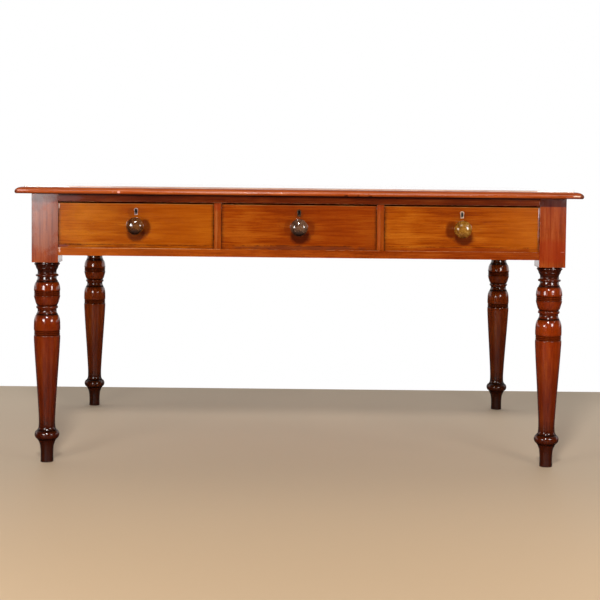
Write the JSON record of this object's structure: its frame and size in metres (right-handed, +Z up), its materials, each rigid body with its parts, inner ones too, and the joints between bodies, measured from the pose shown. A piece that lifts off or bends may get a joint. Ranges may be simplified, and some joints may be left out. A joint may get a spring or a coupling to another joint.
{
  "type": "library desk",
  "caption": "Mahogany library desk with a moulded top, turned and tapered legs, and dovetailed frieze drawers that have wooden knobs, keyhole escutcheons and locks.",
  "frame": {"origin": "on the floor, under the middle of the top", "axes": "+X along the front to the right as seen from the drawers' side, +Y from the drawers to the back, +Z up"},
  "size_m": [1.53, 1.05, 0.762],
  "materials": {
    "mahogany": "French-polished red-brown mahogany",
    "top_mahogany": "French-polished red mahogany",
    "drawer_front_mahogany": "polished golden mahogany",
    "knob_wood": "turned and polished dark wood",
    "drawer_lining": "plain unpolished wood",
    "framing_wood": "plain unpolished wood",
    "brass": "aged brass",
    "steel": "dull steel"
  },
  "bodies": {
    "carcass": {"table_top": "top_mahogany", "front_left_leg": "mahogany", "front_right_leg": "mahogany", "back_left_leg": "mahogany", "back_right_leg": "mahogany", "front_top_rail": "mahogany", "front_bottom_rail": "mahogany", "left_divider": "mahogany", "right_divider": "mahogany", "left_apron": "mahogany", "right_apron": "mahogany", "back_apron": "mahogany", "outer_left_runner": "framing_wood", "inner_left_runner": "framing_wood", "inner_right_runner": "framing_wood", "outer_right_runner": "framing_wood", "outer_left_guide": "framing_wood", "inner_left_guide": "framing_wood", "inner_right_guide": "framing_wood", "outer_right_guide": "framing_wood", "outer_left_kicker": "framing_wood", "inner_left_kicker": "framing_wood", "inner_right_kicker": "framing_wood", "outer_right_kicker": "framing_wood", "left_drawer_left_stop": "framing_wood", "left_drawer_right_stop": "framing_wood", "middle_drawer_left_stop": "framing_wood", "middle_drawer_right_stop": "framing_wood", "right_drawer_left_stop": "framing_wood", "right_drawer_right_stop": "framing_wood"},
    "left_drawer": {"left_drawer_front": "drawer_front_mahogany", "left_drawer_left_side": "drawer_lining", "left_drawer_right_side": "drawer_lining", "left_drawer_back": "drawer_lining", "left_drawer_bottom": "drawer_lining", "left_drawer_knob": "knob_wood", "left_drawer_escutcheon": "brass", "left_drawer_lock_case": "steel"},
    "middle_drawer": {"middle_drawer_front": "drawer_front_mahogany", "middle_drawer_left_side": "drawer_lining", "middle_drawer_right_side": "drawer_lining", "middle_drawer_back": "drawer_lining", "middle_drawer_bottom": "drawer_lining", "middle_drawer_knob": "knob_wood", "middle_drawer_escutcheon": "brass", "middle_drawer_lock_case": "steel"},
    "right_drawer": {"right_drawer_front": "drawer_front_mahogany", "right_drawer_left_side": "drawer_lining", "right_drawer_right_side": "drawer_lining", "right_drawer_back": "drawer_lining", "right_drawer_bottom": "drawer_lining", "right_drawer_knob": "knob_wood", "right_drawer_escutcheon": "brass", "right_drawer_lock_case": "steel"},
    "left_lock_bolt": {"left_drawer_lock_bolt": "steel"},
    "middle_lock_bolt": {"middle_drawer_lock_bolt": "steel"},
    "right_lock_bolt": {"right_drawer_lock_bolt": "steel"}
  },
  "joints": [
    {"name": "left_drawer_slide", "type": "slide", "parent": "carcass", "child": "left_drawer", "axis": [0, -1, 0], "range_m": [0, 0.45]},
    {"name": "middle_drawer_slide", "type": "slide", "parent": "carcass", "child": "middle_drawer", "axis": [0, -1, 0], "range_m": [0, 0.45]},
    {"name": "right_drawer_slide", "type": "slide", "parent": "carcass", "child": "right_drawer", "axis": [0, -1, 0], "range_m": [0, 0.45]},
    {"name": "left_bolt_slide", "type": "slide", "parent": "left_drawer", "child": "left_lock_bolt", "axis": [0, 0, 1], "range_m": [0, 0.007]},
    {"name": "middle_bolt_slide", "type": "slide", "parent": "middle_drawer", "child": "middle_lock_bolt", "axis": [0, 0, 1], "range_m": [0, 0.007]},
    {"name": "right_bolt_slide", "type": "slide", "parent": "right_drawer", "child": "right_lock_bolt", "axis": [0, 0, 1], "range_m": [0, 0.007]}
  ]
}
